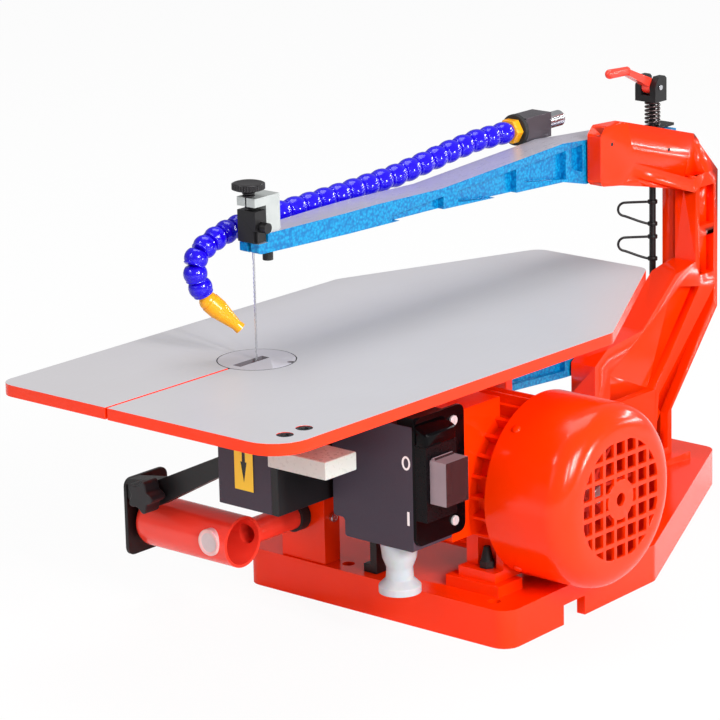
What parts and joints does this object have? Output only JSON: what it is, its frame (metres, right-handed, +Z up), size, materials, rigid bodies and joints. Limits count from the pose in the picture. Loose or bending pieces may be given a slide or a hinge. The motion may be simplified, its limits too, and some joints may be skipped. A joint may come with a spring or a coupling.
{
  "type": "bench scroll saw",
  "caption": "Powered bench scroll saw with parallel swinging arms, a tilting table, a side motor under a grilled cover and an air hose beside the blade.",
  "frame": {"origin": "where the blade crosses the top of the table", "axes": "+Z up along the blade, +Y back along the arms to the column, +X towards the motor's side"},
  "size_m": [0.306, 0.617, 0.3256],
  "materials": {
    "orange_paint": "gloss",
    "red_plastic": "gloss",
    "blue_hammer_paint": "hammered",
    "black_paint": "satin",
    "black_plastic": "satin",
    "gloss_black": "gloss",
    "grey_plastic": "fine grain",
    "smoke_plastic": "clear smoked",
    "white_plastic": "satin",
    "milky_rubber": "translucent",
    "black_rubber": "matt",
    "table_grey": "ground, with painted edge",
    "steel": "satin",
    "zinc": "bright plated",
    "blue_plastic": "gloss",
    "amber_plastic": "gloss",
    "yellow_label": "gloss film",
    "pink_plastic": "satin",
    "cast_aluminium": "satin"
  },
  "bodies": {
    "machine": {"base_casting": "orange_paint", "frame_casting": "orange_paint", "motor_body": "orange_paint", "motor_end_shield": "orange_paint", "fan_cover": "orange_paint", "motor_nuts": "black_paint", "switch_housing": "grey_plastic", "switch_flange": "gloss_black", "switch_panel": "grey_plastic", "switch_screws": "zinc", "cable_boot": "milky_rubber", "support_arm": "black_paint", "guard_cover": "grey_plastic", "arrow_label": "yellow_label", "blade_box": "white_plastic", "tilt_saddle": "black_paint", "rear_trunnion": "orange_paint", "tilt_bar": "black_paint", "end_plate": "black_paint", "dust_tube": "red_plastic", "tube_plug": "pink_plastic", "tube_seal": "black_rubber", "tube_bracket": "orange_paint", "tube_screw": "zinc", "pivot_pins": "steel", "hose_bracket": "black_paint", "hose_valve": "black_paint", "hose_stub": "zinc", "hose_nut": "amber_plastic", "hose_collar": "black_rubber", "air_hose": "blue_plastic"},
    "rotor": {"motor_shaft": "steel", "motor_fan": "black_plastic", "eccentric": "steel"},
    "rocker": {"switch_rocker": "black_plastic"},
    "flap": {"switch_cover": "smoke_plastic"},
    "table": {"table_plate": "table_grey", "table_quadrants": "orange_paint", "table_screws": "black_paint"},
    "insert": {"table_insert": "steel"},
    "tilt_lock": {"tilt_knob": "black_plastic"},
    "top_arm": {"upper_arm": "blue_hammer_paint", "clamp_bracket": "cast_aluminium", "clamp_bolt": "black_paint", "spring_plate": "steel"},
    "bottom_arm": {"lower_arm": "blue_hammer_paint", "rod_link_pin": "steel"},
    "link": {"connecting_rod": "steel"},
    "saw_blade": {"blade": "steel", "clamp_block": "black_paint", "lower_clamp": "black_paint"},
    "thumb_screw": {"clamp_screw": "black_plastic"},
    "tension": {"tension_rod": "black_paint", "tension_block": "black_paint", "lever_pin": "zinc", "tension_spring": "steel", "wire_holder": "black_paint"},
    "lever": {"cam_lever": "red_plastic"},
    "nozzle": {"air_nozzle": "amber_plastic"}
  },
  "joints": [
    {"name": "motor_spin", "type": "hinge", "parent": "machine", "child": "rotor", "pos_m": [0, 0.143, -0.097], "axis": [1, 0, 0], "continuous": true},
    {"name": "rocker_press", "type": "hinge", "parent": "machine", "child": "rocker", "pos_m": [0.12, 0, -0.07], "axis": [0, 1, 0], "range_deg": [-7, 7]},
    {"name": "switch_flap", "type": "hinge", "parent": "machine", "child": "flap", "pos_m": [0.1259, 0, -0.055], "axis": [0, -1, 0], "range_deg": [0, 90]},
    {"name": "table_tilt", "type": "hinge", "parent": "machine", "child": "table", "pos_m": [0, 0, 0], "axis": [0, 1, 0], "range_deg": [-45, 4]},
    {"name": "insert_lift", "type": "slide", "parent": "table", "child": "insert", "axis": [0, 0, 1], "range_m": [0, 0.012]},
    {"name": "tilt_knob_turn", "type": "hinge", "parent": "machine", "child": "tilt_lock", "pos_m": [-0.08, 0, -0.103], "axis": [0, 1, 0], "range_deg": [-180, 180]},
    {"name": "upper_arm_swing", "type": "hinge", "parent": "machine", "child": "top_arm", "pos_m": [0, 0.395, 0.074], "axis": [1, 0, 0], "range_deg": [-1.2, 1.2]},
    {"name": "lower_arm_swing", "type": "hinge", "parent": "machine", "child": "bottom_arm", "pos_m": [0, 0.395, -0.072], "axis": [1, 0, 0], "range_deg": [-1.2, 1.2]},
    {"name": "link_pivot", "type": "hinge", "parent": "bottom_arm", "child": "link", "pos_m": [0, 0.143, -0.068], "axis": [1, 0, 0], "range_deg": [-1.2, 1.2]},
    {"name": "blade_pivot", "type": "hinge", "parent": "top_arm", "child": "saw_blade", "pos_m": [0, 0, 0.092], "axis": [1, 0, 0], "range_deg": [-1.2, 1.2]},
    {"name": "thumb_screw_turn", "type": "hinge", "parent": "top_arm", "child": "thumb_screw", "pos_m": [0, -0.003, 0], "axis": [0, 0, 1], "range_deg": [-180, 180]},
    {"name": "rod_pivot", "type": "hinge", "parent": "top_arm", "child": "tension", "pos_m": [0, 0.442, 0.0803], "axis": [1, 0, 0], "range_deg": [-1.2, 1.2]},
    {"name": "lever_throw", "type": "hinge", "parent": "tension", "child": "lever", "pos_m": [0, 0.439, 0.113], "axis": [-1, 0, 0], "range_deg": [0, 110]},
    {"name": "nozzle_turn", "type": "hinge", "parent": "machine", "child": "nozzle", "pos_m": [-0.02608, -0.01706, 0.03983], "axis": [0.5157, 0.508, -0.6899], "range_deg": [-180, 180]}
  ],
  "couplings": [
    {"joint": "lower_arm_swing", "follows": "upper_arm_swing", "ratio": 1},
    {"joint": "blade_pivot", "follows": "upper_arm_swing", "ratio": -1},
    {"joint": "rod_pivot", "follows": "upper_arm_swing", "ratio": -1},
    {"joint": "link_pivot", "follows": "upper_arm_swing", "ratio": -1}
  ]
}
